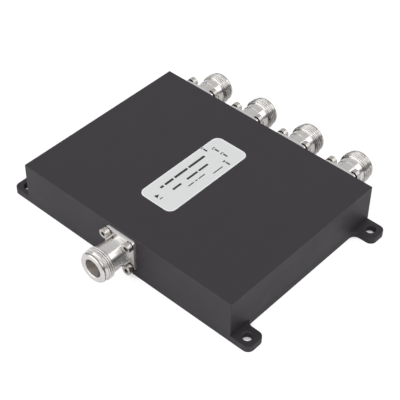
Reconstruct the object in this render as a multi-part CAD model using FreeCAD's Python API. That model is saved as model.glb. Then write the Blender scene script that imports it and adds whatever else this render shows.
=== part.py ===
import FreeCAD, Part
import math
import os

vec = FreeCAD.Vector

# The splitter stands on its base plate, with its origin at the middle of the underside.
# X runs along the row of outputs, Y from the input side to the output side, Z up. Sizes are in mm.

# Housing: a block milled hollow from below, with its ports in the two long walls. Its length follows
# from the row of outputs.
housing_width = 94.9
end_wall = 6.0
port_wall = 6.5
roof = 2.55
cavity_corner = 8.0
outer_corner = 0.25
edge_break = 0.15

# Ports: one input in the middle of the front, the outputs in a row along the back
axis_height = 13.05
output_count = 4
output_pitch = 28.55
output_end_inset = 18.8

# Base plate with an ear at each corner, flush with the front and back of the housing
plate_thickness = 3.15
plate_edge = 0.12
ear_reach = 10.15
ear_width = 10.35
ear_corner = 3.15
ear_root = 3.15
ear_hole_radius = 2.25
ear_hole_edge = 0.35
ear_hole_reach = 5.05
ear_hole_inset = 4.95

# Countersunk screws that hold the plate, four in the corners and four in the long walls
plate_screw_radius = 1.5
plate_screw_length = 8.0
plate_screw_head_radius = 2.9
plate_screw_sink = 0.1
plate_screw_rim = 0.2
plate_screw_inset = 5.0
plate_screw_key = 2.0
plate_screw_key_depth = 1.1

# Connector body: stations along its axis are measured outwards from the housing wall
flange_size = 17.0
flange_thickness = 2.1
flange_corner = 1.5
flange_hole_spacing = 13.3
flange_hole_radius = 1.4
neck_radius = 6.5
neck_end = 8.3
barrel_radius = 6.75
thread_start = 11.9
thread_end = 15.7
thread_radius = 7.86
thread_lead = 0.6
nose_radius = 6.95
nose_end = 16.7
groove_radius = 6.6
groove_end = 17.1
lip_radius = 7.3
lip_end = 17.45
face_radius = 6.2
mouth_end = 18.1
mouth_radius = 4.3
mouth_break = 0.25
reference_plane = 8.5

# Insulator and centre contact
insulator_radius = 3.5
contact_radius = 1.52
contact_shoulder = 3.0
contact_tip = 12.9
contact_break = 0.25
contact_bore_radius = 0.85
contact_bore_depth = 5.0
contact_slot = 0.3
contact_slot_depth = 4.0
tail_radius = 0.65
tail_reach = 3.6

# Socket-head screws and spring washers on each flange
flange_screw_radius = 1.25
flange_screw_length = 6.0
flange_screw_head_radius = 2.35
flange_screw_head_height = 2.5
flange_screw_head_break = 0.2
flange_screw_key = 2.0
flange_screw_key_depth = 1.3
washer_thickness = 0.4
washer_inner_radius = 1.35
washer_outer_radius = 2.25
washer_gap = 0.45
washer_gap_tilt = 25.0

# Circuit board, hung from posts under the roof with its tracks facing down
board_thickness = 1.6
board_gap = 0.8
board_corner = 9.0
post_height = 4.5
post_radius = 3.2
board_screw_radius = 1.25
board_screw_length = 6.0
board_screw_head_radius = 2.35
board_screw_head_height = 1.5
board_screw_slot = 0.6
board_screw_slot_depth = 0.7
board_screw_inset_x = 8.0
board_screw_inset_front = 8.0
board_screw_setback = 11.2
board_hole_radius = 1.35

# Copper tracks: a wide feed splits into two narrow arms, and each arm's line splits once more
track_thickness = 0.1
line_width = 3.0
arm_width = 1.5
arm_spread = 1.95
feed_length = 10.5
first_arm_length = 19.0
second_feed_length = 7.5
second_arm_length = 21.0
resistor_length = 3.2
resistor_width = 1.6
resistor_height = 0.6
solder_radius = 1.7
solder_overlap = 0.6

# Label on the roof, long side from front to back
label_width = 19.4
label_length = 52.15
label_thickness = 0.15
label_corner = 3.5
label_offset_x = -1.85
label_offset_y = 0.25

# Clearances: around a screw in its threaded hole, below its tip, and around a pressed insulator
thread_clearance = 0.05
tip_clearance = 0.7
fit_clearance = 0.02
bore_clearance = 0.1

# Lengths, levels and places that follow from the sizes above
housing_length = (output_count - 1) * output_pitch + 2 * output_end_inset
track_face = axis_height + tail_radius
board_bottom = track_face + track_thickness
board_top = board_bottom + board_thickness
roof_underside = board_top + post_height
housing_top = roof_underside + roof
board_length = housing_length - 2 * (end_wall + board_gap)
board_width = housing_width - 2 * (port_wall + board_gap)
tail_end = -port_wall - board_gap - tail_reach


def output_x(number):
    return (number - (output_count + 1) / 2) * output_pitch


ports = [("input", 0.0, -1)]
for number in range(1, output_count + 1):
    ports.append((f"output_{number}", output_x(number), 1))


# Basic shapes

def moved(shape, x=0.0, y=0.0, z=0.0):
    copy = shape.copy()
    copy.translate(vec(x, y, z))
    return copy


def rounded_plate(length, width, thickness, corner):
    """A plate centred on the origin, standing on the XY plane."""
    plate = Part.makeBox(length, width, thickness, vec(-length / 2, -width / 2, 0))
    uprights = [edge for edge in plate.Edges if edge.BoundBox.ZLength > thickness / 2]
    return plate.makeFillet(corner, uprights)


def turned(points):
    """A solid of revolution about Y, from (radius, station) points."""
    loop = [vec(radius, station, 0) for radius, station in points]
    profile = Part.Face(Part.makePolygon(loop + loop[:1]))
    return profile.revolve(vec(0, 0, 0), vec(0, 1, 0), 360)


def rod(radius, start, end):
    """A cylinder on the Y axis between two stations."""
    return Part.makeCylinder(radius, end - start, vec(0, start, 0), vec(0, 1, 0))


def hexagon(across_flats, depth):
    """A hexagonal key socket's volume, standing on the XY plane."""
    reach = across_flats / math.sqrt(3)
    corners = [vec(reach * math.cos(math.radians(60 * k)), reach * math.sin(math.radians(60 * k)), 0)
               for k in range(7)]
    return Part.Face(Part.makePolygon(corners)).extrude(vec(0, 0, depth))


def along_y(shape):
    """Turns a shape that stands on the XY plane so that it points along +Y."""
    copy = shape.copy()
    copy.rotate(vec(0, 0, 0), vec(1, 0, 0), -90)
    return copy


def at_port(shape, port):
    """Takes a shape from a port's own axes, where +Y is outwards from the wall, to its wall."""
    x, facing = port[1:]
    copy = shape.copy()
    if facing < 0:
        copy.rotate(vec(0, 0, 0), vec(0, 0, 1), 180)
    return moved(copy, x, facing * housing_width / 2, axis_height)


def flange_corners():
    half = flange_hole_spacing / 2
    return [(x, z) for x in (-half, half) for z in (-half, half)]


# Where the screws go

def plate_screw_places():
    corner_x = housing_length / 2 - plate_screw_inset
    corner_y = housing_width / 2 - plate_screw_inset
    wall_y = housing_width / 2 - port_wall / 2
    places = [(x, y) for x in (-corner_x, corner_x) for y in (-corner_y, corner_y)]
    places += [(x, y) for x in (-output_pitch, output_pitch) for y in (-wall_y, wall_y)]
    return places


def board_screw_places():
    """Two near the front edge, and a row of four set back from where the tracks turn to the outputs."""
    end_x = board_length / 2 - board_screw_inset_x
    front_y = -board_width / 2 + board_screw_inset_front
    edge, first_split, first_join, second_split, second_join = track_levels()
    back_y = second_join - board_screw_setback
    middle_x = output_pitch / 2
    return [(-end_x, front_y), (end_x, front_y), (-end_x, back_y), (end_x, back_y),
            (-middle_x, back_y), (middle_x, back_y)]


def ear_hole_places():
    half_x = housing_length / 2 + ear_hole_reach
    half_y = housing_width / 2 - ear_hole_inset
    return [(x, y) for x in (-half_x, half_x) for y in (-half_y, half_y)]


# Housing, plate and label

def make_housing():
    height = housing_top - plate_thickness
    block = rounded_plate(housing_length, housing_width, height, outer_corner)
    rims = [edge for edge in block.Edges if edge.BoundBox.ZLength < edge_break]
    block = block.makeChamfer(edge_break, rims)
    block = moved(block, z=plate_thickness)
    cavity = rounded_plate(housing_length - 2 * end_wall, housing_width - 2 * port_wall,
                           roof_underside - plate_thickness, cavity_corner)
    shell = block.cut(moved(cavity, z=plate_thickness))
    posts = [Part.makeCylinder(post_radius, post_height, vec(x, y, board_top))
             for x, y in board_screw_places()]
    shell = shell.fuse(posts).removeSplitter()
    return shell.cut(housing_holes())


def housing_holes():
    holes = []
    wall_bore = rod(insulator_radius + bore_clearance, -port_wall - 1, 1)
    flange_hole_depth = (flange_screw_length - flange_thickness - washer_thickness) + tip_clearance
    flange_hole = rod(flange_screw_radius + thread_clearance, -flange_hole_depth, 1)
    for port in ports:
        holes.append(at_port(wall_bore, port))
        holes += [at_port(moved(flange_hole, x, 0, z), port) for x, z in flange_corners()]
    plate_hole_depth = plate_screw_length + plate_screw_sink - plate_thickness + tip_clearance
    for x, y in plate_screw_places():
        holes.append(Part.makeCylinder(plate_screw_radius + thread_clearance, plate_hole_depth,
                                       vec(x, y, plate_thickness)))
    board_hole_depth = board_screw_length - board_thickness + tip_clearance
    for x, y in board_screw_places():
        holes.append(Part.makeCylinder(board_screw_radius + thread_clearance, board_hole_depth,
                                       vec(x, y, board_top)))
    return holes


def make_base_plate():
    plate = Part.makeBox(housing_length, housing_width, plate_thickness,
                         vec(-housing_length / 2, -housing_width / 2, 0))
    inner_x = housing_length / 2
    outer_x = inner_x + ear_reach
    outer_y = housing_width / 2
    inner_y = outer_y - ear_width
    for y in (-outer_y, inner_y):
        plate = plate.fuse(Part.makeBox(2 * outer_x, ear_width, plate_thickness, vec(-outer_x, y, 0)))
    plate = plate.removeSplitter()
    plate = plate.makeFillet(ear_root, upright_edges(plate, inner_x, inner_y))
    plate = plate.makeFillet(ear_corner, upright_edges(plate, outer_x, inner_y, outer_y))
    rims = [edge for edge in plate.Edges if edge.BoundBox.ZMin > plate_thickness / 2]
    plate = plate.makeChamfer(plate_edge, rims)
    for x, y in ear_hole_places():
        plate = plate.cut(ear_hole(x, y))
    for x, y in plate_screw_places():
        plate = plate.cut(moved(plate_screw_outline(0, thread_clearance), x, y))
    return plate


def upright_edges(shape, x, *depths):
    """The Z edges of a solid whose distances from the middle planes are x and one of the depths."""
    found = []
    for edge in shape.Edges:
        box = edge.BoundBox
        at_x = abs(abs(box.Center.x) - x) < 0.01
        at_y = any(abs(abs(box.Center.y) - depth) < 0.01 for depth in depths)
        if box.ZLength > plate_thickness / 2 and at_x and at_y:
            found.append(edge)
    return found


def ear_hole(x, y):
    hole = Part.makeCylinder(ear_hole_radius, plate_thickness, vec(x, y, 0))
    edge = Part.makeCone(ear_hole_radius, ear_hole_radius + ear_hole_edge, ear_hole_edge,
                         vec(x, y, plate_thickness - ear_hole_edge))
    return hole.fuse(edge)


def plate_screw_outline(bottom, clearance):
    """A countersunk screw pointing up from the given level, or its hole with a clearance."""
    head_radius = plate_screw_head_radius + clearance
    shank_radius = plate_screw_radius + clearance
    cone_start = plate_screw_sink + plate_screw_rim
    cone_height = plate_screw_head_radius - plate_screw_radius
    tip = plate_screw_sink + plate_screw_length
    rim = Part.makeCylinder(head_radius, cone_start - bottom, vec(0, 0, bottom))
    cone = Part.makeCone(head_radius, shank_radius, cone_height, vec(0, 0, cone_start))
    shank = Part.makeCylinder(shank_radius, tip - bottom, vec(0, 0, bottom))
    return shank.fuse([rim, cone]).removeSplitter()


def make_plate_screws():
    key = moved(hexagon(plate_screw_key, plate_screw_key_depth), z=plate_screw_sink)
    screw = plate_screw_outline(plate_screw_sink, 0).cut(key)
    return [moved(screw, x, y) for x, y in plate_screw_places()]


def make_label():
    label = rounded_plate(label_width, label_length, label_thickness, label_corner)
    return moved(label, label_offset_x, label_offset_y, housing_top)


# Connectors

def make_connector_body():
    """A square flange and a turned barrel with its mouth, bored through for the insulator."""
    barrel = turned([
        (insulator_radius, 0), (neck_radius, 0), (neck_radius, neck_end),
        (barrel_radius, neck_end), (barrel_radius, thread_start),
        (thread_radius - thread_lead, thread_start), (thread_radius, thread_start + thread_lead),
        (thread_radius, thread_end), (nose_radius, nose_end), (groove_radius, nose_end),
        (groove_radius, groove_end), (lip_radius, groove_end), (lip_radius, lip_end),
        (face_radius, mouth_end), (mouth_radius + mouth_break, mouth_end),
        (mouth_radius, mouth_end - mouth_break), (mouth_radius, reference_plane),
        (insulator_radius, reference_plane),
    ])
    flange = along_y(rounded_plate(flange_size, flange_size, flange_thickness, flange_corner))
    flange = flange.cut(rod(insulator_radius, -1, flange_thickness + 1))
    hole = rod(flange_hole_radius, -1, flange_thickness + 1)
    flange = flange.cut([moved(hole, x, 0, z) for x, z in flange_corners()])
    return barrel.fuse(flange).removeSplitter()


def make_insulator():
    outer = insulator_radius - fit_clearance
    front_hole = contact_radius + fit_clearance
    rear_hole = tail_radius + fit_clearance
    return turned([
        (rear_hole, -port_wall), (outer, -port_wall), (outer, reference_plane),
        (front_hole, reference_plane), (front_hole, contact_shoulder), (rear_hole, contact_shoulder),
    ])


def make_contact():
    """A slotted socket in front, with a thin tail that runs through the wall to the board."""
    contact = turned([
        (0, tail_end), (tail_radius, tail_end), (tail_radius, contact_shoulder),
        (contact_radius, contact_shoulder), (contact_radius, contact_tip - contact_break),
        (contact_radius - contact_break, contact_tip), (contact_bore_radius, contact_tip),
        (contact_bore_radius, contact_tip - contact_bore_depth), (0, contact_tip - contact_bore_depth),
    ])
    slot = Part.makeBox(2 * contact_radius + 1, contact_slot_depth + 1, contact_slot,
                        vec(-contact_radius - 0.5, contact_tip - contact_slot_depth, -contact_slot / 2))
    for angle in (45, 135):
        turned_slot = slot.copy()
        turned_slot.rotate(vec(0, 0, 0), vec(0, 1, 0), angle)
        contact = contact.cut(turned_slot)
    return contact


def make_flange_screw():
    seat = flange_thickness + washer_thickness
    top = seat + flange_screw_head_height
    rim = flange_screw_head_break
    screw = turned([
        (0, seat - flange_screw_length), (flange_screw_radius, seat - flange_screw_length),
        (flange_screw_radius, seat), (flange_screw_head_radius, seat),
        (flange_screw_head_radius, top - rim), (flange_screw_head_radius - rim, top), (0, top),
    ])
    key = along_y(hexagon(flange_screw_key, flange_screw_key_depth))
    return screw.cut(moved(key, y=top - flange_screw_key_depth))


def make_washer():
    """A spring washer: a ring cut through by a leaning gap."""
    seat = flange_thickness
    ring = rod(washer_outer_radius, seat, seat + washer_thickness)
    ring = ring.cut(rod(washer_inner_radius, seat, seat + washer_thickness))
    gap = Part.makeBox(washer_gap, 4 * washer_thickness, 2 * washer_outer_radius,
                       vec(-washer_gap / 2, -2 * washer_thickness, 0))
    gap.rotate(vec(0, 0, 0), vec(0, 0, 1), washer_gap_tilt)
    return ring.cut(moved(gap, y=seat + washer_thickness / 2))


def on_every_flange(shape):
    return [at_port(moved(shape, x, 0, z), port) for port in ports for x, z in flange_corners()]


# Board, tracks and what is soldered to them

def make_board():
    board = rounded_plate(board_length, board_width, board_thickness, board_corner)
    board = moved(board, z=board_bottom)
    for x, y in board_screw_places():
        board = board.cut(Part.makeCylinder(board_hole_radius, board_thickness, vec(x, y, board_bottom)))
    return board


def strip(x0, y0, x1, y1, width):
    """A straight piece of track between two points, squared off half a width past each."""
    half = width / 2
    return Part.makeBox(abs(x1 - x0) + width, abs(y1 - y0) + width, track_thickness,
                        vec(min(x0, x1) - half, min(y0, y1) - half, track_face))


def track_levels():
    """The places along Y where the tracks branch, from the front edge of the board backwards."""
    edge = -board_width / 2
    first_split = edge + feed_length
    first_join = first_split + first_arm_length
    second_split = first_join + second_feed_length
    second_join = second_split + second_arm_length
    return edge, first_split, first_join, second_split, second_join


def make_tracks():
    edge, first_split, first_join, second_split, second_join = track_levels()
    end = line_width / 2
    pieces = [strip(0, edge + end, 0, first_split, line_width),
              strip(-arm_spread, first_split, arm_spread, first_split, arm_width)]
    for side in (-1, 1):
        middle = side * output_pitch
        pieces.append(strip(side * arm_spread, first_split, side * arm_spread, first_join, arm_width))
        pieces.append(strip(side * (arm_spread + line_width / 2), first_join, middle, first_join, line_width))
        pieces.append(strip(middle, first_join, middle, second_split, line_width))
        for branch in (-1, 1):
            arm_x = middle + branch * arm_spread
            port_x = middle + branch * output_pitch / 2
            pieces.append(strip(middle, second_split, arm_x, second_split, arm_width))
            pieces.append(strip(arm_x, second_split, arm_x, second_join, arm_width))
            pieces.append(strip(arm_x + branch * line_width / 2, second_join, port_x, second_join, line_width))
            pieces.append(strip(port_x, second_join, port_x, -edge - end, line_width))
    return pieces[0].fuse(pieces[1:]).removeSplitter()


def make_resistors():
    """Two chips across each pair of arms, half way along and at the far end."""
    edge, first_split, first_join, second_split, second_join = track_levels()
    chip = Part.makeBox(resistor_length, resistor_width, resistor_height,
                        vec(-resistor_length / 2, -resistor_width / 2, track_face - resistor_height))
    places = [(0, (first_split + first_join) / 2), (0, first_join)]
    for side in (-1, 1):
        places.append((side * output_pitch, (second_split + second_join) / 2))
        places.append((side * output_pitch, second_join))
    return [moved(chip, x, y) for x, y in places]


def make_solder():
    """A dome of solder under the track round the end of each contact's tail."""
    dome = Part.makeSphere(solder_radius, vec(0, tail_end + solder_overlap, tail_radius),
                           vec(0, 0, 1), -90, 0, 360)
    tail_length = -tail_end
    above_tail = Part.makeBox(2 * tail_radius, tail_length, 2 * tail_radius,
                              vec(-tail_radius, tail_end, 0))
    dome = dome.cut(rod(tail_radius, tail_end, 0).fuse(above_tail))
    return [at_port(dome, port) for port in ports]


def make_board_screws():
    head = Part.makeCylinder(board_screw_head_radius, board_screw_head_height,
                             vec(0, 0, board_bottom - board_screw_head_height))
    shank = Part.makeCylinder(board_screw_radius, board_screw_length, vec(0, 0, board_bottom))
    slot = Part.makeBox(2 * board_screw_head_radius, board_screw_slot, board_screw_slot_depth,
                        vec(-board_screw_head_radius, -board_screw_slot / 2,
                            board_bottom - board_screw_head_height))
    screw = head.fuse(shank).removeSplitter().cut(slot)
    return [moved(screw, x, y) for x, y in board_screw_places()]


# Every piece under its own name; a list is a group of separate solids

nodes = {
    "housing": make_housing(),
    "base_plate": make_base_plate(),
    "base_plate_screws": make_plate_screws(),
    "label_plate": make_label(),
    "circuit_board": make_board(),
    "copper_tracks": make_tracks(),
    "isolation_resistors": make_resistors(),
    "solder_joints": make_solder(),
    "board_screws": make_board_screws(),
    "flange_screws": on_every_flange(make_flange_screw()),
    "spring_washers": on_every_flange(make_washer()),
}
connector_body = make_connector_body()
insulator = make_insulator()
contact = make_contact()
for port in ports:
    nodes[f"{port[0]}_connector_body"] = at_port(connector_body, port)
    nodes[f"{port[0]}_insulator"] = at_port(insulator, port)
    nodes[f"{port[0]}_contact"] = at_port(contact, port)

os.makedirs("parts", exist_ok=True)
for name, shape in nodes.items():
    if isinstance(shape, list):
        shape = Part.makeCompound(shape)
    shape.exportStep(f"parts/{name}.step")
print(len(nodes), "pieces, top of housing at", round(housing_top, 3))
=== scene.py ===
from math import cos, pi, radians, sin

import bpy
import numpy as np
from mathutils import Matrix, Vector


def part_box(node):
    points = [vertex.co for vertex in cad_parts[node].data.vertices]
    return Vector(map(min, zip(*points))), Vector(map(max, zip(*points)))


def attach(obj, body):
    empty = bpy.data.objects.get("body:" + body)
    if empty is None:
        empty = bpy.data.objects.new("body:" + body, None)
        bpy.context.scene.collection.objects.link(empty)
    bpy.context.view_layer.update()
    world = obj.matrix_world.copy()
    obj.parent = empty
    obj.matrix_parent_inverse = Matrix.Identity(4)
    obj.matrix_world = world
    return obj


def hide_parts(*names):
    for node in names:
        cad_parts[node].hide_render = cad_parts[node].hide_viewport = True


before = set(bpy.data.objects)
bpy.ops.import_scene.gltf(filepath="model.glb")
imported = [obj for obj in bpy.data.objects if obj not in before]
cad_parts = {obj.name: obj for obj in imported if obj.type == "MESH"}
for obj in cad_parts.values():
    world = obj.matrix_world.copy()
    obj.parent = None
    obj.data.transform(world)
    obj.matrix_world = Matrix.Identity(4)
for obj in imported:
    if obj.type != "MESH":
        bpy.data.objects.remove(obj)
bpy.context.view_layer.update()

mm = 0.001
scene = bpy.context.scene
scene.view_settings.view_transform = "Standard"
portNames = ["input"] + [f"output_{number}" for number in range(1, 5)]
randomNumbers = np.random.default_rng(12)


# mesh helpers: a part of a mesh is (points, corners of all faces in a row, corners of each face)

def meshPiece(name, parts, sharpAngle, fields=None):
    # fields holds values for each point, numbers or vectors, that the finishes read by name
    points = np.concatenate([part[0] for part in parts])
    starts = np.cumsum([0] + [len(part[0]) for part in parts])
    corners = np.concatenate([part[1] + start for part, start in zip(parts, starts)])
    counts = np.concatenate([part[2] for part in parts])
    mesh = bpy.data.meshes.new(name)
    mesh.vertices.add(len(points))
    mesh.vertices.foreach_set("co", points.astype(np.float32).ravel())
    mesh.loops.add(len(corners))
    mesh.loops.foreach_set("vertex_index", corners.astype(np.int32))
    mesh.polygons.add(len(counts))
    mesh.polygons.foreach_set("loop_start", (np.cumsum(counts) - counts).astype(np.int32))
    mesh.update(calc_edges=True)
    mesh.shade_smooth()
    mesh.set_sharp_from_angle(angle=radians(sharpAngle))
    for field, values in (fields or {}).items():
        kind, key = ("FLOAT_VECTOR", "vector") if values.ndim == 2 else ("FLOAT", "value")
        mesh.attributes.new(field, kind, "POINT").data.foreach_set(key, values.astype(np.float32).ravel())
    piece = bpy.data.objects.new(name, mesh)
    scene.collection.objects.link(piece)
    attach(piece, "root")
    return piece


def turnedPart(radius, station, closed):
    # radius and station are grids, rows along the outline and columns round the Y axis: a point is at
    # (radius times sine, station, radius times cosine) of its column's angle. A closed outline joins its
    # last row to its first; an open one ends in a pole at each end.
    rows, columns = radius.shape
    angle = 2 * pi * np.arange(columns) / columns
    points = np.stack([radius * np.sin(angle), station, radius * np.cos(angle)], -1).reshape(-1, 3)
    row = np.arange(rows if closed else rows - 1)[:, None]
    column = np.arange(columns)[None, :]
    here, right = row * columns + column, row * columns + (column + 1) % columns
    above = (row + 1) % rows * columns
    quads = np.stack([here, right, above + (column + 1) % columns, above + column], -1).reshape(-1, 4)
    corners, counts = quads.ravel(), np.full(len(quads), 4)
    if not closed:
        first, last = len(points), len(points) + 1
        points = np.concatenate([points, [[0, station[0].mean(), 0], [0, station[-1].mean(), 0]]])
        ring, following = np.arange(columns), (np.arange(columns) + 1) % columns
        top = (rows - 1) * columns
        bottomFan = np.stack([np.full(columns, first), following, ring], -1)
        topFan = np.stack([np.full(columns, last), top + ring, top + following], -1)
        corners = np.concatenate([corners, bottomFan.ravel(), topFan.ravel()])
        counts = np.concatenate([counts, np.full(2 * columns, 3)])
    return points, corners, counts


def roundAxis(points):
    # the direction round the Y axis at each point; a pole takes the X direction
    across = np.hypot(points[:, 0], points[:, 2])
    direction = np.stack([points[:, 2], 0 * across, -points[:, 0]], -1) / np.maximum(across, 1e-9)[:, None]
    return np.where(across[:, None] > 1e-6, direction, [1.0, 0.0, 0.0])


def curvePart(curve):
    # the mesh that a curve or a text makes, as a part
    holder = bpy.data.objects.new(curve.name, curve)
    mesh = bpy.data.meshes.new_from_object(holder)
    points = np.empty(len(mesh.vertices) * 3)
    corners = np.empty(len(mesh.loops), int)
    counts = np.empty(len(mesh.polygons), int)
    mesh.vertices.foreach_get("co", points)
    mesh.loops.foreach_get("vertex_index", corners)
    mesh.polygons.foreach_get("loop_total", counts)
    bpy.data.objects.remove(holder)
    bpy.data.meshes.remove(mesh)
    return points.reshape(-1, 3), corners, counts


def travelled(radius, station):
    # how far along the outline each row is, from the first row on
    return np.concatenate([[0], np.cumsum(np.hypot(np.diff(radius), np.diff(station)))])


def placed(part, change):
    return change(part[0]), part[1], part[2]


def roundedCorners(corners, steps=3, support=0.06, mostRounding=0.4, mostSupport=0.48):
    # each corner (radius, station, rounding) becomes the curve (1-t)^2 a + 2t(1-t) corner + t^2 b between
    # places a and b on its two sides, with one more row a little way out on each side to keep them flat;
    # neither goes further along a side than its share of it
    corners = np.array(corners, float)
    place, rounding = corners[1:-1, :2], corners[1:-1, 2:]

    def outAlong(side, distance, most):
        length = np.linalg.norm(side, axis=1, keepdims=True)
        return place + side / length * np.minimum(distance, most * length)

    before, after = corners[:-2, :2] - place, corners[2:, :2] - place
    a, b = (outAlong(side, rounding, mostRounding) for side in (before, after))
    outerA, outerB = (outAlong(side, rounding + support, mostSupport) for side in (before, after))
    t = np.linspace(0, 1, steps + 1)[None, :, None]
    curve = (1 - t) ** 2 * a[:, None] + 2 * t * (1 - t) * place[:, None] + t ** 2 * b[:, None]
    return np.concatenate([outerA[:, None], curve, outerB[:, None]], 1).reshape(-1, 2)


def roundedLoop(length, width, corner, steps=10):
    # a rectangle's outline with quarter circles at its corners, anticlockwise, centred on the origin
    angle = np.radians(np.linspace(0, 90, steps + 1))
    arc = np.stack([np.cos(angle), np.sin(angle)], -1) * corner
    turns = [(1, 1, False), (-1, 1, True), (-1, -1, False), (1, -1, True)]
    middles = np.array([length / 2 - corner, width / 2 - corner])
    quarters = [(arc[::-1] if back else arc) * [sx, sy] + middles * [sx, sy] for sx, sy, back in turns]
    return np.concatenate(quarters)


# where the ports are, read from the frame

def portPlace(name):
    low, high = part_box(name + "_connector_body")
    facing = -1 if high.y < 0 else 1
    wall = high.y if facing < 0 else low.y
    return np.array([(low.x + high.x) / 2, wall, (low.z + high.z) / 2]), facing


def atPort(name):
    # a change from a port's own axes in mm, where +Y is outwards, to the frame; at the input, which faces the
    # other way, that is half a turn
    place, facing = portPlace(name)
    return lambda points: np.asarray(points) * [facing, facing, 1] * mm + place


def standing(place, across, upwards, backwards):
    # a place and the three directions of an object's own axes, as its matrix
    return Matrix.Translation(place) @ Matrix((across, upwards, backwards)).transposed().to_4x4()


# camera at the photo's viewing angle

cameraSettings = {
    "azimuth": 41.544, "elevation": 43.481, "roll": 0.961,     # degrees
    "distance": 545.2, "aside": 1.463, "upwards": 5.489,        # mm
    "lens": 107.04, "sensor": 36.0,                             # mm
    "clip": (0.01, 50),                                         # m
}


def makeCamera():
    size = cameraSettings
    azimuth, elevation, roll = (radians(size[key]) for key in ("azimuth", "elevation", "roll"))
    back = Vector((sin(azimuth) * cos(elevation), -cos(azimuth) * cos(elevation), sin(elevation)))
    level = Vector((cos(azimuth), sin(azimuth), 0))
    upright = back.cross(level)
    right = cos(roll) * level + sin(roll) * upright
    up = -sin(roll) * level + cos(roll) * upright
    place = back * size["distance"] + right * size["aside"] + up * size["upwards"]
    data = bpy.data.cameras.new("photoCamera")
    data.lens, data.sensor_width = size["lens"], size["sensor"]
    data.clip_start, data.clip_end = size["clip"]
    camera = bpy.data.objects.new("photoCamera", data)
    camera.matrix_world = standing(place * mm, right, up, back)
    scene.collection.objects.link(camera)
    scene.camera = camera


makeCamera()
print("camera set")


# node helpers

def addNode(tree, kind, inputs=None, **settings):
    node = tree.nodes.new("ShaderNode" + kind)
    for key, value in settings.items():
        setattr(node, key, value)
    for key, value in (inputs or {}).items():
        if isinstance(value, bpy.types.NodeSocket):
            tree.links.new(value, node.inputs[key])
        else:
            node.inputs[key].default_value = value
    return node


def blended(tree, factor, first, second):
    node = addNode(tree, "Mix", {0: factor, 6: first, 7: second}, data_type="RGBA")
    return node.outputs[2]


def ranged(tree, value, low, high, toLow=0.0, toHigh=1.0):
    return addNode(tree, "MapRange", {0: value, 1: low, 2: high, 3: toLow, 4: toHigh}).outputs[0]


def worked(tree, operation, first, second):
    return addNode(tree, "Math", {0: first, 1: second}, operation=operation).outputs[0]


def startGroup(name, inputs, outputs):
    tree = bpy.data.node_groups.new(name, "ShaderNodeTree")
    for label, kind, value in inputs:
        socket = tree.interface.new_socket(name=label, in_out="INPUT", socket_type="NodeSocket" + kind)
        socket.default_value = value
    for label, kind in outputs:
        tree.interface.new_socket(name=label, in_out="OUTPUT", socket_type="NodeSocket" + kind)
    return tree, tree.nodes.new("NodeGroupInput").outputs, tree.nodes.new("NodeGroupOutput").inputs


def usedGroup(tree, group, inputs):
    return addNode(tree, "Group", inputs, node_tree=group).outputs


# effects that several finishes share; a pair is where a mask starts and where it is full

grainSettings = {"finer": 3.1, "fineShare": 0.35, "speckle": (0.56, 0.72), "mottle": (0.33, 0.67)}
edgeSettings = {"turnedAway": (0.985, 0.80), "patches": (0.40, 0.62), "leastWear": 0.25}
latheSettings = {"broadScale": 0.13, "tone": (0.3, 0.7)}


def makeGrainGroup():
    # two sizes of noise, the one about a third of the other, and a slow mottle
    tree, given, result = startGroup(
        "fineGrain", [("Grain Size", "Float", 0.3 * mm), ("Mottle Size", "Float", 9 * mm)],
        [("Height", "Float"), ("Speckle", "Float"), ("Mottle", "Float")])
    place = addNode(tree, "TexCoord").outputs["Object"]
    scale = worked(tree, "DIVIDE", 1.0, given["Grain Size"])
    finerScale = worked(tree, "MULTIPLY", scale, grainSettings["finer"])
    slowScale = worked(tree, "DIVIDE", 1.0, given["Mottle Size"])
    coarse = addNode(tree, "TexNoise", {"Vector": place, "Scale": scale, "Detail": 2.0, "Roughness": 0.55})
    fine = addNode(tree, "TexNoise", {"Vector": place, "Scale": finerScale, "Detail": 1.0})
    slow = addNode(tree, "TexNoise", {"Vector": place, "Scale": slowScale, "Detail": 4.0, "Roughness": 0.6})
    mixed = addNode(tree, "Mix", {0: grainSettings["fineShare"], 2: coarse.outputs[0], 3: fine.outputs[0]})
    height = mixed.outputs[0]
    tree.links.new(height, result["Height"])
    tree.links.new(ranged(tree, height, *grainSettings["speckle"]), result["Speckle"])
    tree.links.new(ranged(tree, slow.outputs[0], *grainSettings["mottle"]), result["Mottle"])
    return tree


def makeEdgeGroup():
    # where a rounded normal leaves the true one there is an edge; noise breaks the line up
    tree, given, result = startGroup(
        "edgeWear", [("Reach", "Float", 0.3 * mm), ("Patch Size", "Float", 3 * mm)], [("Edge", "Float")])
    rounded = addNode(tree, "Bevel", {"Radius": given["Reach"]}, samples=6).outputs[0]
    true = addNode(tree, "NewGeometry").outputs["True Normal"]
    alike = addNode(tree, "VectorMath", {0: rounded, 1: true}, operation="DOT_PRODUCT").outputs["Value"]
    edge = ranged(tree, alike, *edgeSettings["turnedAway"])
    scale = worked(tree, "DIVIDE", 1.0, given["Patch Size"])
    place = addNode(tree, "TexCoord").outputs["Object"]
    patches = addNode(tree, "TexNoise", {"Vector": place, "Scale": scale, "Detail": 5.0, "Roughness": 0.65})
    broken = ranged(tree, patches.outputs[0], *edgeSettings["patches"], edgeSettings["leastWear"])
    tree.links.new(worked(tree, "MULTIPLY", edge, broken), result["Edge"])
    return tree


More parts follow.
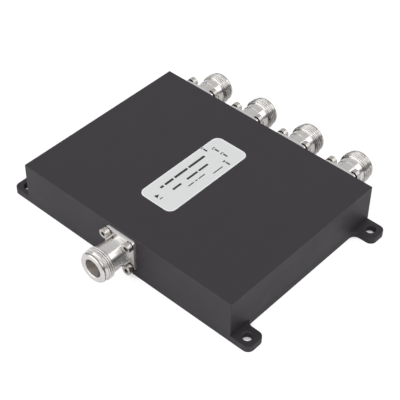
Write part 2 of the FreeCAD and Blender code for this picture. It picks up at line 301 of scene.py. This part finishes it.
def makeLatheGroup():
    # rings left by a lathe: noise in one dimension, along the piece's own outline
    tree, given, result = startGroup(
        "turnedLines", [("Along", "Float", 0.0), ("Line Width", "Float", 0.08 * mm)],
        [("Height", "Float"), ("Tone", "Float")])
    along = worked(tree, "DIVIDE", given["Along"], given["Line Width"])
    fine = addNode(tree, "TexNoise", {"W": along, "Scale": 1.0, "Detail": 3.0, "Roughness": 0.7},
                   noise_dimensions="1D")
    broad = addNode(tree, "TexNoise", {"W": along, "Scale": latheSettings["broadScale"], "Detail": 2.0},
                    noise_dimensions="1D")
    tree.links.new(fine.outputs[0], result["Height"])
    tree.links.new(ranged(tree, broad.outputs[0], *latheSettings["tone"]), result["Tone"])
    return tree


grainGroup, edgeGroup, latheGroup = makeGrainGroup(), makeEdgeGroup(), makeLatheGroup()


def startMaterial(name, **plain):
    # plain values go straight onto the shader's own sockets
    material = bpy.data.materials.new(name)
    material.use_nodes = True
    tree = material.node_tree
    shader = tree.nodes["Principled BSDF"]
    for key, value in plain.items():
        shader.inputs[key.replace("_", " ")].default_value = value
    return material, tree, shader.inputs


def addBump(tree, sockets, height, distance):
    bump = addNode(tree, "Bump", {"Height": height, "Distance": distance})
    tree.links.new(bump.outputs[0], sockets["Normal"])


# finishes; a roughness is its least and its most

coatSettings = {
    "colour": (0.0280, 0.0239, 0.0291, 1), "speckle": (0.040, 0.035, 0.041, 1),
    "worn": (0.052, 0.048, 0.053, 1), "roughness": (0.50, 0.58), "specular": 0.42,
    "grainSize": 0.28 * mm, "grainDepth": 0.012 * mm, "mottleSize": 14 * mm,
    "edgeReach": 0.25 * mm, "patchSize": 4 * mm, "wear": 0.35,
}


def makeBlackCoat():
    look = coatSettings
    material, tree, sockets = startMaterial("blackCoat", Specular_IOR_Level=look["specular"])
    grain = usedGroup(tree, grainGroup, {"Grain Size": look["grainSize"], "Mottle Size": look["mottleSize"]})
    edge = usedGroup(tree, edgeGroup, {"Reach": look["edgeReach"], "Patch Size": look["patchSize"]})
    speckled = blended(tree, grain["Speckle"], look["colour"], look["speckle"])
    worn = blended(tree, worked(tree, "MULTIPLY", edge["Edge"], look["wear"]), speckled, look["worn"])
    tree.links.new(worn, sockets["Base Color"])
    tree.links.new(ranged(tree, grain["Mottle"], 0, 1, *look["roughness"]), sockets["Roughness"])
    addBump(tree, sockets, grain["Height"], look["grainDepth"])
    return material


# each metal's shade colour and its roughness are painted shade for its recesses: the bore, the thread's
# roots, the groove and the key holes
metalSettings = {
    "mottleSize": 5 * mm, "edgeReach": 0.1 * mm, "patchSize": 2 * mm, "wear": 0.3, "lineDepth": 0.0008 * mm,
}
nickelSettings = {
    **metalSettings, "bright": (0.80, 0.785, 0.765, 1), "dull": (0.71, 0.695, 0.675, 1),
    "edge": (0.90, 0.89, 0.875, 1), "hollow": (0.24, 0.195, 0.175, 1), "hollowRoughness": 0.55,
    "roughness": (0.26, 0.30), "anisotropy": 0.95, "lineWidth": 0.07 * mm, "grainSize": 0.5 * mm,
}
flangeSettings = {
    **nickelSettings, "bright": (0.87, 0.86, 0.845, 1), "dull": (0.80, 0.79, 0.775, 1),
    "roughness": (0.32, 0.38), "anisotropy": 0.30,
}
steelSettings = {
    **metalSettings, "bright": (0.65, 0.62, 0.59, 1), "dull": (0.47, 0.435, 0.405, 1),
    "edge": (0.72, 0.70, 0.68, 1), "hollow": (0.10, 0.085, 0.075, 1), "hollowRoughness": 0.5,
    "roughness": (0.13, 0.20), "anisotropy": 0.4, "lineWidth": 0.05 * mm, "grainSize": 0.12 * mm,
}


def makeTurnedMetal(name, look):
    # turned metal scatters light along its outline and little round it, so the tangent is the outline's
    # direction, which is square to the normal and to the direction round the axis
    material, tree, sockets = startMaterial(name, Metallic=1.0, Anisotropic=look["anisotropy"])
    along = addNode(tree, "Attribute", attribute_name="turned").outputs["Fac"]
    around = addNode(tree, "Attribute", attribute_name="around").outputs["Vector"]
    hollow = addNode(tree, "Attribute", attribute_name="hollow").outputs["Fac"]
    lines = usedGroup(tree, latheGroup, {"Along": along, "Line Width": look["lineWidth"]})
    grain = usedGroup(tree, grainGroup, {"Grain Size": look["grainSize"], "Mottle Size": look["mottleSize"]})
    edge = usedGroup(tree, edgeGroup, {"Reach": look["edgeReach"], "Patch Size": look["patchSize"]})
    normal = addNode(tree, "NewGeometry").outputs["Normal"]
    tangent = addNode(tree, "VectorMath", {0: normal, 1: around}, operation="CROSS_PRODUCT").outputs["Vector"]
    tree.links.new(tangent, sockets["Tangent"])
    tone = worked(tree, "MULTIPLY", grain["Mottle"], lines["Tone"])
    toned = blended(tree, tone, look["bright"], look["dull"])
    worn = blended(tree, worked(tree, "MULTIPLY", edge["Edge"], look["wear"]), toned, look["edge"])
    # painted shade: where the shade attribute is set, in the bore, the thread's roots, the groove and the key
    # holes, the colour is darkened and made rougher
    tree.links.new(blended(tree, hollow, worn, look["hollow"]), sockets["Base Color"])
    plainRoughness = ranged(tree, grain["Mottle"], 0, 1, *look["roughness"])
    rough = addNode(tree, "Mix", {0: hollow, 2: plainRoughness, 3: look["hollowRoughness"]}).outputs[0]
    tree.links.new(rough, sockets["Roughness"])
    addBump(tree, sockets, lines["Height"], look["lineDepth"])
    return material


metallic, satin = {"Metallic": 1.0}, {"Specular_IOR_Level": 0.4}
grainedSettings = {
    # the material's name, its colour and the colour of its spots, its grain's size and depth in mm, its
    # roughness, and what else its shader is given
    "insulator": ("whiteInsulator", (0.80, 0.79, 0.76), (0.72, 0.71, 0.68), 0.2, 0.004, (0.42, 0.55), {}),
    "gold": ("goldContact", (0.86, 0.62, 0.27), (0.74, 0.50, 0.19), 0.1, 0.001, (0.14, 0.28), metallic),
    "board": ("boardLaminate", (0.035, 0.115, 0.048), (0.055, 0.15, 0.07), 0.4, 0.01, (0.30, 0.42), {}),
    "copper": ("copperFoil", (0.78, 0.44, 0.28), (0.55, 0.28, 0.17), 0.15, 0.002, (0.22, 0.40), metallic),
    "ceramic": ("resistorCeramic", (0.018, 0.018, 0.020), (0.05, 0.05, 0.055), 0.1, 0.004, (0.45, 0.6), {}),
    "solder": ("tinSolder", (0.66, 0.66, 0.67), (0.48, 0.48, 0.49), 0.15, 0.004, (0.18, 0.34), metallic),
    "labelFace": ("labelFace", (0.70, 0.707, 0.707), (0.68, 0.687, 0.687), 0.35, 0.002, (0.38, 0.46), satin),
    "labelRim": ("labelRim", (0.82, 0.825, 0.825), (0.80, 0.805, 0.805), 0.35, 0.002, (0.38, 0.46), satin),
    "ink": ("labelInk", (0.014, 0.014, 0.017), (0.045, 0.045, 0.05), 0.12, 0.001, (0.40, 0.55), {}),
}
mottleRatio, mottleShare = 12, 0.5      # a mottle's size in grains, and how much it adds to the spots


def makeGrained(name, colour, spot, grainSize, depth, roughness, plain):
    # a plain finish with a fine grain: mouldings, laminate, ceramic, paper, ink and small metal pieces
    material, tree, sockets = startMaterial(name, **plain)
    sizes = {"Grain Size": grainSize * mm, "Mottle Size": mottleRatio * grainSize * mm}
    grain = usedGroup(tree, grainGroup, sizes)
    mottle = worked(tree, "MULTIPLY", grain["Mottle"], mottleShare)
    mask = worked(tree, "MAXIMUM", grain["Speckle"], mottle)
    tree.links.new(blended(tree, mask, (*colour, 1), (*spot, 1)), sockets["Base Color"])
    tree.links.new(ranged(tree, grain["Mottle"], 0, 1, *roughness), sockets["Roughness"])
    addBump(tree, sockets, grain["Height"], depth * mm)
    return material


finishes = {
    "blackCoat": makeBlackCoat(),
    "nickel": makeTurnedMetal("turnedNickel", nickelSettings),
    "flange": makeTurnedMetal("milledNickel", flangeSettings),
    "steel": makeTurnedMetal("brushedSteel", steelSettings),
}
for finish, look in grainedSettings.items():
    finishes[finish] = makeGrained(*look)
print(len(finishes), "finishes made")


def dress(piece, *names):
    piece.data.materials.clear()
    for name in names:
        piece.data.materials.append(finishes[name])


def dressNodes():
    # the CAD nodes that keep their own shape only change their material slots
    wanted = {
        "housing": "blackCoat", "base_plate": "blackCoat",
        "base_plate_screws": "steel", "spring_washers": "steel", "board_screws": "steel",
        "circuit_board": "board", "copper_tracks": "copper",
        "isolation_resistors": "ceramic", "solder_joints": "solder",
    }
    for port in portNames:
        wanted[port + "_insulator"] = "insulator"
        wanted[port + "_contact"] = "gold"
    for node, name in wanted.items():
        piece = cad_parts[node]
        if not piece.material_slots:
            piece.data.materials.append(None)
        for slot in piece.material_slots:
            slot.material = finishes[name]


dressNodes()


# connector bodies: a bevelled square flange and a turned barrel with its thread

bodySettings = {
    # stations are measured from the wall, along the axis; the shade values say how much painted shade darkens
    # a place
    "flangeThickness": 2.1, "flangeCorner": 1.5, "flangeBreak": 0.12, "flangeOverlap": 0.1,
    "flangeBrushing": (0.6, 0.0, 0.8), "holeSpacing": 13.3, "holeRadius": 1.4, "holeColumns": 48,
    "insulatorRadius": 3.5, "neckRadius": 6.5, "neckEnd": 8.3, "barrelRadius": 6.75, "sharpAngle": 38,
    "threadStart": 11.9, "threadEnd": 15.1, "threadRadius": 7.8, "threadLead": 0.6, "threadStop": 15.3,
    "threadPitch": 25.4 / 24, "threadPhase": 0.26, "threadDepth": 0.48, "threadRows": 110,
    "crestShare": 0.12, "flankShare": 0.76, "rootRadius": 7.3,
    "mouthRadius": 4.45, "mouthBreak": 0.35, "referencePlane": 8.5, "faceRadius": 6.8, "columns": 180,
    "boreShade": 0.35, "threadRootShade": 0.6, "grooveShade": 0.9,
    # corners of the nose behind its face: radius, station and rounding
    "nose": [(7.25, 15.5, 0.03), (6.72, 16.45, 0.05), (6.72, 16.76, 0.05), (7.3, 16.8, 0.08),
             (7.3, 17.2, 0.06), (6.95, 17.23, 0.03), (6.95, 17.48, 0.03), (7.2, 17.5, 0.1)],
    "noseGroove": {"station": 17.34, "reach": 0.15, "outside": 6.9},
}


def threadGrid():
    # the outline is a cone, a straight band and a cone; the thread is a helix whose depth at a place is a
    # smooth step of its distance from the crest, as a share of the pitch; the surface is the lower of the two
    size = bodySettings
    start, end, stop, lead, top = (
        size["thread" + key] for key in ("Start", "End", "Stop", "Lead", "Radius"))
    station = np.linspace(start, stop, size["threadRows"])[:, None]
    outline = np.interp(station, [start, start + lead, end, stop], [top - lead, top, top, size["rootRadius"]])
    turn = np.arange(size["columns"])[None, :] / size["columns"]
    phase = (station / size["threadPitch"] - turn - size["threadPhase"]) % 1
    fromCrest = 1 - np.abs(2 * phase - 1)
    share = np.clip((fromCrest - size["crestShare"]) / size["flankShare"], 0, 1)
    depth = share ** 2 * (3 - 2 * share)
    radius = np.minimum(outline, top - size["threadDepth"] * depth)
    # painted shade in the thread's roots, darkest at their bottom
    hollow = size["threadRootShade"] * depth ** 3
    return radius, np.broadcast_to(station, radius.shape), hollow


def evenGrid(corners, hollow):
    # rows of a rounded outline, each the same all round; the shade function of radius and station says how
    # much painted shade a row gets
    rows = roundedCorners(corners)
    radius, station = rows[:, 0], rows[:, 1]
    columns = bodySettings["columns"]
    return [np.repeat(values[:, None], columns, 1) for values in (radius, station, hollow(radius, station))]


def mouthHollow(radius, station):
    # painted shade: the bore is a little darker, and the groove behind the face more so
    size, groove = bodySettings, bodySettings["noseGroove"]
    inGroove = (np.abs(station - groove["station"]) < groove["reach"]) * (radius > groove["outside"])
    inBore = radius < size["mouthRadius"] + 0.02      # with a little more, for rounding errors
    return np.where(inBore, size["boreShade"], size["grooveShade"] * inGroove)


def barrelPart(mouthEnd):
    # the outline runs from the bore's back to the wall, out over the neck, barrel, thread and nose to the
    # face, and down the mouth to where it began; each corner is (radius, station, rounding)
    size = bodySettings
    plane, mouth, bore = size["referencePlane"], size["mouthRadius"], size["insulatorRadius"]
    inner = [
        (bore, plane, 0), (bore, 0, 0.05), (size["neckRadius"], 0, 0.05),
        (size["neckRadius"], size["neckEnd"], 0.04), (size["barrelRadius"], size["neckEnd"], 0.1),
        (size["barrelRadius"], size["threadStart"], 0.05),
        (size["threadRadius"] - size["threadLead"], size["threadStart"], 0)]
    outer = [
        (size["rootRadius"], size["threadStop"], 0), *size["nose"], (size["faceRadius"], mouthEnd, 0.15),
        (mouth + size["mouthBreak"], mouthEnd, 0.1), (mouth, mouthEnd - size["mouthBreak"], 0.1),
        (mouth, plane, 0.08), (bore, plane, 0.05), (bore, 0, 0)]
    grids = [evenGrid(inner, lambda radius, station: 0 * radius), threadGrid(), evenGrid(outer, mouthHollow)]
    radius, station, hollow = (np.concatenate([grid[k] for grid in grids]) for k in range(3))
    part = turnedPart(radius, station, closed=True)
    along = np.repeat(travelled(radius[:, 0], station[:, 0]), size["columns"]) * mm
    return part, {"turned": along, "around": roundAxis(part[0]), "hollow": hollow.ravel()}


def flangePart(flangeSize):
    # a filled outline with its holes, thickened and bevelled, stood up so that its underside is on the wall
    size = bodySettings
    bevel = size["flangeBreak"]
    curve = bpy.data.curves.new("flangeOutline", "CURVE")
    curve.dimensions, curve.fill_mode = "2D", "BOTH"
    curve.extrude = size["flangeThickness"] / 2 - bevel
    curve.bevel_depth, curve.bevel_resolution, curve.offset = bevel, 1, -bevel
    half = size["holeSpacing"] / 2
    angle = np.linspace(0, 2 * pi, size["holeColumns"] + 1)[:-1]
    circle = np.stack([np.cos(angle), np.sin(angle)], -1)
    loops = [roundedLoop(flangeSize, flangeSize, size["flangeCorner"])]
    loops += [circle * size["holeRadius"] + [x, z] for x in (-half, half) for z in (-half, half)]
    loops.append(circle * (size["neckRadius"] - size["flangeOverlap"]))
    for loop in loops:
        spline = curve.splines.new("POLY")
        spline.points.add(len(loop) - 1)
        places = np.column_stack([loop, np.zeros(len(loop)), np.ones(len(loop))])
        spline.points.foreach_set("co", places.ravel())
        spline.use_cyclic_u = True
    middle = size["flangeThickness"] / 2
    return placed(curvePart(curve), lambda points: points[:, [0, 2, 1]] * [1, -1, 1] + [0, middle, 0])


def joinedFields(parts):
    return {key: np.concatenate([fields[key] for fields in parts]) for key in parts[0]}


def makeBodies():
    for port in portNames:
        low, high = (np.array(corner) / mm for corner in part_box(port + "_connector_body"))
        barrel, barrelFields = barrelPart(high[1] - low[1])
        flange = flangePart(high[0] - low[0])
        count = len(flange[0])
        flangeFields = {"turned": np.zeros(count), "hollow": np.zeros(count),
                        "around": np.tile(bodySettings["flangeBrushing"], (count, 1))}
        change = atPort(port)
        piece = meshPiece(port + "_body", [placed(barrel, change), placed(flange, change)],
                          bodySettings["sharpAngle"], joinedFields([barrelFields, flangeFields]))
        dress(piece, "nickel", "flange")
        ofFlange = np.repeat([0, 1], [len(barrel[2]), len(flange[2])])
        piece.data.polygons.foreach_set("material_index", ofFlange)
        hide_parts(port + "_connector_body")


makeBodies()
print("connector bodies made")


# socket-head screws, four to a flange

screwSettings = {
    "seat": 2.5, "shankRadius": 1.25, "shankLength": 6.0, "tipShare": 0.7, "tipLength": 0.3, "edge": 0.1,
    "headRadius": 2.35, "headHeight": 2.5, "rim": 0.2, "ridges": 36, "perRidge": 4, "ridgeDepth": 0.05,
    "key": 2.0, "keyDepth": 1.3, "drillRadius": 0.75, "drillTip": 0.35, "drillDepth": 0.35,
    "keyHoleShade": 0.8, "sharpAngle": 30,
}


def screwPart(turn):
    # rows from the shank's tip over the head to the bottom of its key hole: the head's side has ridges whose
    # height is a triangle wave of the angle, and the key hole's radius is that of a hexagon, which is its
    # flat's distance divided by the cosine of the angle from the middle of the flat
    size = screwSettings
    columns, edge = size["ridges"] * size["perRidge"], size["edge"]
    angle = 2 * pi * np.arange(columns) / columns
    ridge = 1 - np.abs(2 * (np.arange(columns) / size["perRidge"] % 1) - 1)
    hexagon = size["key"] / 2 / np.cos((angle - turn) % (pi / 3) - pi / 6)
    seat, tip = size["seat"], size["seat"] - size["shankLength"]
    top, bottom = seat + size["headHeight"], seat + size["headHeight"] - size["keyDepth"]
    head, shank, rim = size["headRadius"], size["shankRadius"], size["rim"]
    knurled = head - size["ridgeDepth"] * ridge
    # each row is its radius, its station and how much painted shade it gets, which darkens the key hole; the
    # small numbers round its edges off
    rows = [
        (shank * size["tipShare"], tip, 0), (shank, tip + size["tipLength"], 0), (shank, seat - edge, 0),
        (shank, seat, 0), (shank + edge, seat, 0), (head - 2 * edge, seat, 0), (head - edge, seat, 0),
        (knurled - 0.02, seat + 0.12, 0), (knurled, seat + 0.25, 0), (knurled, top - 0.55, 0),
        (knurled - 0.01, top - 0.45, 0), (head - 0.02, top - 0.38, 0), (head - 0.01, top - rim - 0.04, 0),
        (head - 0.07, top - 0.09, 0), (head - rim, top - 0.01, 0), (head - rim - edge, top, 0),
        (hexagon + 0.16, top, 0), (hexagon + 0.1, top - 0.005, 0), (hexagon, top - edge, 0.5),
        (hexagon, top - 2 * edge, 1), (hexagon, bottom + 0.05, 1), (hexagon - 0.03, bottom, 1),
        (size["drillRadius"], bottom - 0.05, 1), (size["drillTip"], bottom - size["drillDepth"] / 2, 1),
    ]
    radius = np.stack([row[0] * np.ones(columns) for row in rows])
    station = np.repeat(np.array([row[1] for row in rows])[:, None], columns, 1)
    path = travelled(radius.mean(1), station[:, 0])
    along = np.concatenate([np.repeat(path, columns), path[[0, -1]]]) * mm
    # painted shade down the key hole, full at its bottom
    hollow = np.concatenate([np.repeat([row[2] for row in rows], columns), [0, 1]]) * size["keyHoleShade"]
    part = turnedPart(radius, station, closed=False)
    return part, {"turned": along, "around": roundAxis(part[0]), "hollow": hollow}


def makeScrews():
    half = bodySettings["holeSpacing"] / 2
    parts, fields = [], []
    for port in portNames:
        change = atPort(port)
        for x in (-half, half):
            for z in (-half, half):
                part, values = screwPart(randomNumbers.uniform(0, pi / 3))
                parts.append(placed(placed(part, lambda points: points + [x, 0, z]), change))
                fields.append(values)
    piece = meshPiece("flange_screw_heads", parts, screwSettings["sharpAngle"], joinedFields(fields))
    dress(piece, "steel")
    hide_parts("flange_screws")


makeScrews()
print("flange screws made")


# label: a pale sheet with a brighter rim, and its print in plain bars, four numerals and a triangle

labelSettings = {
    # heights are above the label's underside, and a break is how far in and how far down an edge is cut
    "corner": 3.5, "sheet": 0.125, "edgeBreak": (0.03, 0.02), "rim": 0.6, "rimBreak": (0.02, 0.008),
    "faceEdge": 0.4, "inkSink": 0.004, "inkRise": 0.014, "figureScale": 1.4, "figureWeight": 0.07,
    "sharpAngle": 60,
}
# rows of plain bars, read from the input side to the output side: where they start (x, y), how far they run,
# their height, and the share of the run where each bar starts and ends, all in mm
printRows = [
    {"start": (-6.45, -17.0), "run": 28.9, "height": 1.25,
     "words": [(0, .065), (.10, .285), (.315, .605), (.635, 1)]},
    {"start": (-1.7, -14.1), "run": 23.0, "height": 1.1, "words": [(0, .235), (.40, .70), (.735, 1)]},
    {"start": (1.8, -7.9), "run": 10.9, "height": 0.55, "words": [(0, .34), (.42, .55), (.62, 1)]},
    {"start": (4.25, 5.9), "run": 6.3, "height": 0.55, "words": [(0, 1)]},
]
# where the ports' marks are (x, y), and their shapes: a bar is where it starts and ends in x, from the mark's
# place, and half its width
portMarks = {
    "input": (-3.15, -21.6), "arrowShift": -0.8, "arrowReach": 1.15, "inputBar": (1.3, 1.8, 0.9),
    "outputs": [(-9.45, 15.2), (-5.45, 18.7), (-0.4, 18.8), (4.1, 15.4)],
    "figureHeight": 1.7, "figureShift": -1.6, "outputBar": (-0.7, 1.7, 0.425),
}


def labelPart(low, high):
    # closed rings from the underside up over the edge and rim to the face, which one wide polygon fills
    size = labelSettings
    length, width = (high[0] - low[0]) / mm, (high[1] - low[1]) / mm
    sheet, rim = size["sheet"], size["rim"]
    edgeIn, edgeDown = size["edgeBreak"]
    rimIn, rimDown = size["rimBreak"]
    rings = [(0.0, 0.0), (0.0, sheet - edgeDown), (edgeIn, sheet), (rim, sheet),
             (rim + rimIn, sheet - rimDown), (rim + size["faceEdge"], sheet - rimDown)]
    outlines = [roundedLoop(length - 2 * d, width - 2 * d, size["corner"] - d) for d, _ in rings]
    count, strips = len(outlines[0]), len(rings) - 1
    loops = [np.column_stack([outline, np.full(count, height)])
             for outline, (_, height) in zip(outlines, rings)]
    middle = np.array([(low[0] + high[0]) / 2, (low[1] + high[1]) / 2, low[2]])
    points = np.concatenate(loops) * mm + middle
    ring = np.arange(count)
    following = (ring + 1) % count
    strip = np.stack([ring, following, following + count, ring + count], -1)
    quads = [strip + k * count for k in range(strips)]
    corners = np.concatenate([np.concatenate(quads).ravel(), ring + strips * count, ring[::-1]])
    counts = np.concatenate([np.full(count * strips, 4), [count, count]])
    # the last strip and the wide polygon are the face; the polygon after them is the underside
    onFace = np.concatenate([np.zeros(count * (strips - 1), int), np.ones(count + 1, int), [0]])
    return (points, corners, counts), onFace


def slabPart(left, right, front, back, bottom, top):
    # a thin upright block for one stroke of print
    points = np.array([(x, y, z) for z in (bottom, top) for x, y in
                       ((left, front), (right, front), (right, back), (left, back))])
    quads = np.array([(3, 2, 1, 0), (4, 5, 6, 7), (0, 1, 5, 4), (1, 2, 6, 5), (2, 3, 7, 6), (3, 0, 4, 7)])
    return points * mm, quads.ravel(), np.full(6, 4)


def wordParts(row, bottom, top):
    # each word is one plain bar
    x, y = row["start"]
    half = row["height"] / 2
    return [slabPart(x - half, x + half, y + begin * row["run"], y + end * row["run"], bottom, top)
            for begin, end in row["words"]]


def barPart(place, bar, bottom, top):
    # a mark's own bar
    start, end, half = bar
    x, y = place
    return slabPart(x + start, x + end, y - half, y + half, bottom, top)


def numeralPart(figure, place, bottom, top):
    # the figures face the way that the outputs' marks do, with their feet towards the outputs
    curve = bpy.data.curves.new("figure", "FONT")
    curve.body, curve.align_x, curve.align_y = figure, "CENTER", "CENTER"
    curve.size = portMarks["figureHeight"] * labelSettings["figureScale"]
    curve.extrude, curve.offset = (top - bottom) / 2, labelSettings["figureWeight"]
    middle = np.array([place[0] + portMarks["figureShift"], place[1], (bottom + top) / 2])
    return placed(curvePart(curve), lambda points: (points * [-1, -1, 1] + middle) * mm)


def arrowPart(place, bottom, top):
    # a triangle that points into the box
    x, y, reach = place[0] + portMarks["arrowShift"], place[1], portMarks["arrowReach"]
    outline = [(x - reach, y - reach), (x + reach, y - reach), (x, y + reach)]
    points = np.array([(*corner, z) for z in (bottom, top) for corner in outline]) * mm
    corners = np.array([2, 1, 0, 3, 4, 5, 0, 1, 4, 3, 1, 2, 5, 4, 2, 0, 3, 5])
    return points, corners, np.array([3, 3, 4, 4, 4])


def makeSheet():
    part, onFace = labelPart(*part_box("label_plate"))
    sheet = meshPiece("label_sheet", [part], labelSettings["sharpAngle"])
    dress(sheet, "labelRim", "labelFace")
    sheet.data.polygons.foreach_set("material_index", onFace)
    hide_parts("label_plate")


def makePrint():
    size = labelSettings
    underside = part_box("label_plate")[0][2] / mm
    bottom = underside + size["sheet"] - size["rimBreak"][1] - size["inkSink"]
    top = bottom + size["inkRise"]
    parts = [part for row in printRows for part in wordParts(row, bottom, top)]
    for number, place in enumerate(portMarks["outputs"], 1):
        parts.append(numeralPart(str(number), place, bottom, top))
        parts.append(barPart(place, portMarks["outputBar"], bottom, top))
    parts.append(arrowPart(portMarks["input"], bottom, top))
    parts.append(barPart(portMarks["input"], portMarks["inputBar"], bottom, top))
    ink = meshPiece("label_print", parts, size["sharpAngle"])
    dress(ink, "ink")


makeSheet()
makePrint()
print("label made")


# floor, world and lamps

studioSettings = {
    # the floor: its size and how far it lies below the object in m, its colour, and how bright it is to the
    # rays that see it plain, where 1 is white, with the share of it that each kind of ray sees
    "floorSize": 3.0, "floorDrop": 0.0001, "floorColour": (0.92, 0.92, 0.92, 1), "floorGlow": 1.08,
    "cameraShare": 0.87, "reflectedShare": 0.10,
    # inside a narrow hole the floor is greyer, as painted shade: its brightness there, how far it looks
    # round, and the openness at which it starts and stops being greyer
    "wellGlow": 0.30, "wellReach": 6 * mm, "wellOpenness": (0.25, 0.45),
    # the world: its brightness at the horizon and straight up, how high it goes on rising, and a dark flag
    # with the heights and sides over which it fades
    "horizon": 0.50, "zenith": 0.62, "band": 0.30,
    "flag": 0.15, "flagTop": (0.35, 0.25), "flagSide": (0.50, 0.75),
}
lampSettings = {
    # where each stands in m, the direction of its length, its width and length in m, and its brightness,
    # where 1 is plain white
    "strip": {"place": (0.83, 0.34, 0.94), "lengthways": (-0.17, 0.97, -0.19), "size": (0.86, 2.4),
              "level": 1.10},
    "frontBox": {"place": (-0.42, -1.04, 0.86), "lengthways": (0, 0, 1), "size": (2.2, 1.2), "level": 1.25},
}


def backgroundRays(tree):
    # how much of the plain background a ray sees: camera rays most, mirrored and refracted ones some
    path = addNode(tree, "LightPath").outputs
    seen = worked(tree, "MULTIPLY", path["Is Camera Ray"], studioSettings["cameraShare"])
    mirrored = worked(tree, "MAXIMUM", path["Is Glossy Ray"], path["Is Transmission Ray"])
    dimmed = worked(tree, "MULTIPLY", mirrored, studioSettings["reflectedShare"])
    return worked(tree, "MAXIMUM", seen, dimmed)


def makeFloor():
    look = studioSettings
    half, drop = look["floorSize"] / 2, look["floorDrop"]
    points = [(-half, -half, -drop), (half, -half, -drop), (half, half, -drop), (-half, half, -drop)]
    mesh = bpy.data.meshes.new("floor")
    mesh.from_pydata(points, [], [(0, 1, 2, 3)])
    floor = bpy.data.objects.new("floor", mesh)
    scene.collection.objects.link(floor)
    material = bpy.data.materials.new("paleFloor")
    material.use_nodes = True
    tree = material.node_tree
    tree.nodes.clear()
    matt = addNode(tree, "BsdfDiffuse", {"Color": look["floorColour"]}).outputs[0]
    # painted shade: where the floor is enclosed, as under the ear holes, its glow is lowered
    openness = addNode(tree, "AmbientOcclusion", {"Distance": look["wellReach"]}, samples=8).outputs["AO"]
    level = ranged(tree, openness, *look["wellOpenness"], look["wellGlow"], look["floorGlow"])
    glow = addNode(tree, "Emission", {"Color": (1, 1, 1, 1), "Strength": level}).outputs[0]
    mixed = addNode(tree, "MixShader", {0: backgroundRays(tree), 1: matt, 2: glow}).outputs[0]
    addNode(tree, "OutputMaterial", {"Surface": mixed})
    mesh.materials.append(material)


def makeWorld():
    # brightness rises from the horizon upwards, with a dark flag low on the right; camera rays see plain
    # white instead
    look = studioSettings
    world = bpy.data.worlds.new("studio")
    world.use_nodes = True
    scene.world = world
    tree = world.node_tree
    tree.nodes.clear()
    towards = addNode(tree, "SeparateXYZ", {0: addNode(tree, "TexCoord").outputs["Generated"]}).outputs
    sky = ranged(tree, towards["Z"], 0.0, look["band"], look["horizon"], look["zenith"])
    low, right = ranged(tree, towards["Z"], *look["flagTop"]), ranged(tree, towards["X"], *look["flagSide"])
    flag = worked(tree, "MULTIPLY", low, right)
    flagged = addNode(tree, "Mix", {0: flag, 2: sky, 3: look["flag"]}).outputs[0]
    seen = addNode(tree, "LightPath").outputs["Is Camera Ray"]
    level = addNode(tree, "Mix", {0: seen, 2: flagged, 3: 1.0}).outputs[0]
    background = addNode(tree, "Background", {"Color": (1, 1, 1, 1), "Strength": level}).outputs[0]
    addNode(tree, "OutputWorld", {"Surface": background})


def makeLamps():
    for name, lamp in lampSettings.items():
        data = bpy.data.lights.new(name, "AREA")
        data.shape = "RECTANGLE"
        data.size, data.size_y = lamp["size"]
        data.energy = lamp["level"] * pi * data.size * data.size_y    # power that gives that brightness
        piece = bpy.data.objects.new(name, data)
        outwards = Vector(lamp["place"]).normalized()
        across = Vector(lamp["lengthways"]).cross(outwards).normalized()
        piece.matrix_world = standing(lamp["place"], across, outwards.cross(across), outwards)
        piece.visible_camera = False
        scene.collection.objects.link(piece)


makeFloor()
makeWorld()
makeLamps()
print("studio made")
